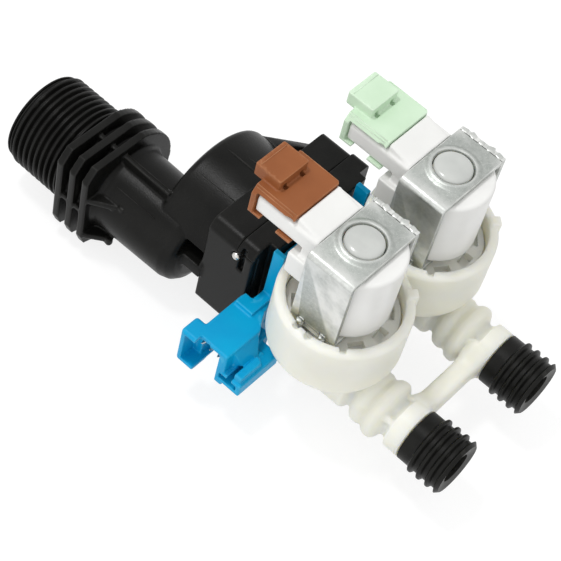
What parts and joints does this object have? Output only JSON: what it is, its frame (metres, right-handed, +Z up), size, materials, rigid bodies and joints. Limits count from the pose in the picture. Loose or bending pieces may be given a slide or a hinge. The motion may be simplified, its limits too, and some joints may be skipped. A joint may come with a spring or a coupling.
{
  "type": "washing machine inlet valve",
  "caption": "Water inlet valve with a threaded hose inlet, a flow turbine chamber, solenoid valves with coloured terminal caps and ribbed outlet tips.",
  "frame": {"origin": "on the axis of the inlet thread, at the front face of the first flange rib", "axes": "+X the way the water flows, from the thread to the outlets; +Z up along the solenoids; +Y towards the rear valve"},
  "size_m": [0.1383, 0.0727, 0.0681],
  "materials": {
    "brown_plastic": "moulded",
    "green_plastic": "moulded",
    "white_plastic": "moulded over the coil",
    "rubber": "moulded",
    "insert_plastic": "moulded",
    "natural_plastic": "natural moulded",
    "board": "moulded package",
    "black_plastic": "satin moulded, glass filled",
    "bright_steel": "stainless",
    "red_rubber": "moulded",
    "ferrite": "bonded magnet",
    "blue_plastic": "satin moulded",
    "tinned_brass": "tinned",
    "zinc_steel": "zinc plated sheet"
  },
  "bodies": {
    "valve": {"cap_brown": "brown_plastic", "cap_green": "green_plastic", "coil_front": "white_plastic", "coil_rear": "white_plastic", "cover_seal": "rubber", "diaphragm_front": "rubber", "diaphragm_insert_front": "insert_plastic", "diaphragm_insert_rear": "insert_plastic", "diaphragm_rear": "rubber", "guide_tube_front": "natural_plastic", "guide_tube_rear": "natural_plastic", "guide_vanes": "insert_plastic", "hall_sensor": "board", "inlet_body": "black_plastic", "inlet_screen": "insert_plastic", "joint_pin_front": "bright_steel", "joint_pin_rear": "bright_steel", "outlet_tip_front": "rubber", "outlet_tip_rear": "rubber", "plunger_spring_front": "bright_steel", "plunger_spring_rear": "bright_steel", "port_seal": "rubber", "regulator_holder": "insert_plastic", "regulator_washer": "red_rubber", "sensor_housing": "blue_plastic", "sensor_pin_1": "tinned_brass", "sensor_pin_2": "tinned_brass", "sensor_pin_3": "tinned_brass", "terminal_front_left": "tinned_brass", "terminal_front_right": "tinned_brass", "terminal_rear_left": "tinned_brass", "terminal_rear_right": "tinned_brass", "turbine_axle": "bright_steel", "turbine_cover": "black_plastic", "valve_body": "natural_plastic", "yoke_lower_front": "zinc_steel", "yoke_lower_rear": "zinc_steel", "yoke_upper_front": "zinc_steel", "yoke_upper_rear": "zinc_steel"},
    "turbine": {"turbine_rotor": "insert_plastic", "rotor_magnet": "ferrite"},
    "plunger_front": {"plunger_front": "bright_steel", "plunger_pad_front": "rubber"},
    "plunger_rear": {"plunger_rear": "bright_steel", "plunger_pad_rear": "rubber"}
  },
  "joints": [
    {"name": "turbine_spin", "type": "hinge", "parent": "valve", "child": "turbine", "pos_m": [0.0494, 0.0139, 0.0076], "axis": [1, 0, 0], "continuous": true},
    {"name": "plunger_front_lift", "type": "slide", "parent": "valve", "child": "plunger_front", "axis": [0, 0, 1], "range_m": [0, 0.0022], "stiffness_N_per_m": 300, "springref_m": -0.003, "deforming": ["plunger_spring_front"]},
    {"name": "plunger_rear_lift", "type": "slide", "parent": "valve", "child": "plunger_rear", "axis": [0, 0, 1], "range_m": [0, 0.0022], "stiffness_N_per_m": 300, "springref_m": -0.003, "deforming": ["plunger_spring_rear"]}
  ]
}
